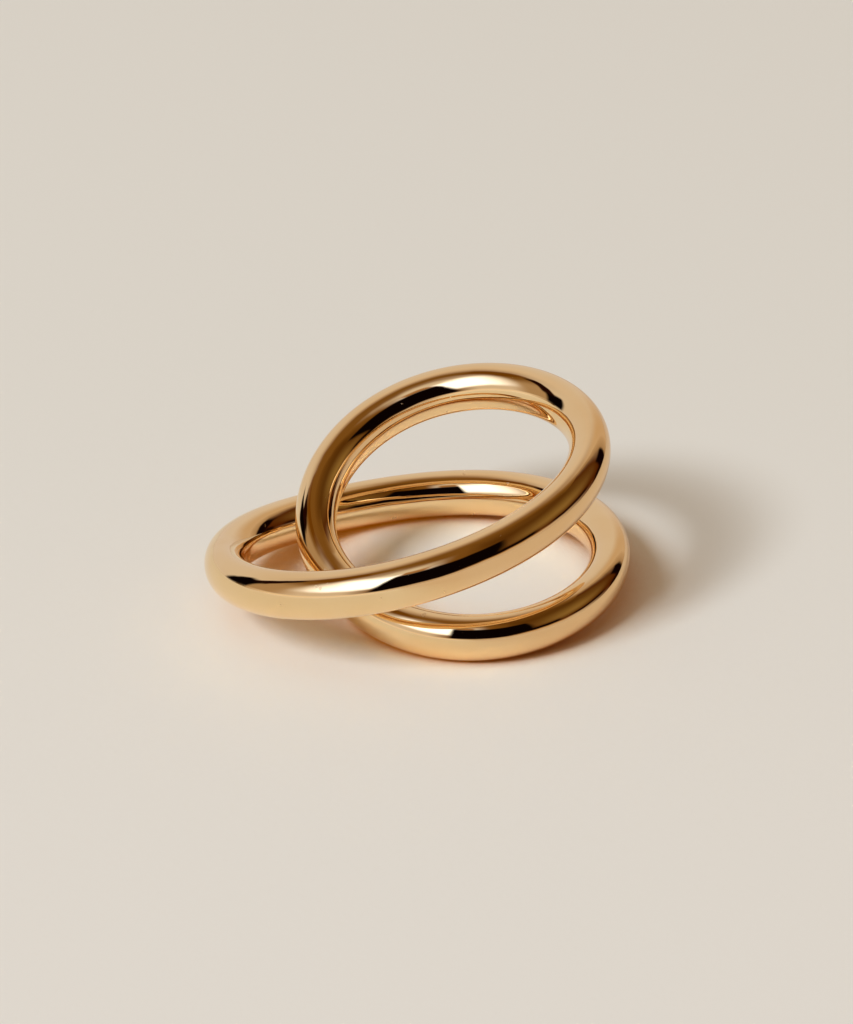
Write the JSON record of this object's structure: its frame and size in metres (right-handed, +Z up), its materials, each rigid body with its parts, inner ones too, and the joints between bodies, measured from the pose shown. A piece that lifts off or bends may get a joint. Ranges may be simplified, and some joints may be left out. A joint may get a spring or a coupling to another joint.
{
  "type": "spiral ring",
  "caption": "Finger ring made of one oval gold wire that winds in two tilted, spreading turns and closes on itself, with open gaps between the turns.",
  "frame": {"origin": "middle of the ring's outline on the surface it rests on", "axes": "+X to the right, along the ring's longest extent; +Y away from the front band, towards the top strand at the back; +Z up, along the finger"},
  "size_m": [0.0312, 0.0294, 0.015],
  "materials": {
    "gold": "mirror-polished yellow gold"
  },
  "bodies": {
    "root": {"band": "gold"}
  },
  "joints": []
}
